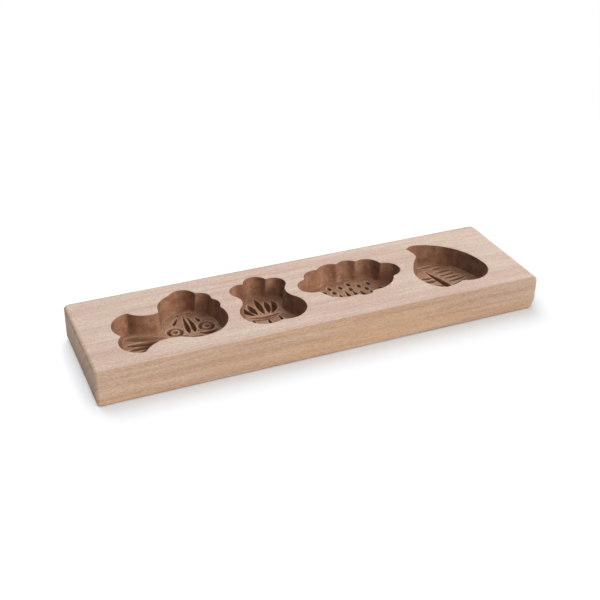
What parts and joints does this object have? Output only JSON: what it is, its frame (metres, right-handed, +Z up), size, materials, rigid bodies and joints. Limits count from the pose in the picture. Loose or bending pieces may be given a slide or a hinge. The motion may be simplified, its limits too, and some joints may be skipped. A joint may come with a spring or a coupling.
{
  "type": "pastry mold",
  "caption": "Long wooden pastry mold: one block with deep drafted cavities carved as a fish, a flower basket, a shell and a leaf, each with a grooved floor.",
  "frame": {"origin": "middle of the flat underside that the block rests on", "axes": "+X along the block from the fish to the leaf, +Y to the back, +Z up out of the cavities' mouths"},
  "size_m": [0.318, 0.087, 0.025],
  "materials": {
    "wood": "sanded and unvarnished, pale pinkish beige, with darker brown carved cavities"
  },
  "bodies": {
    "root": {"mold_block": "wood"}
  },
  "joints": []
}
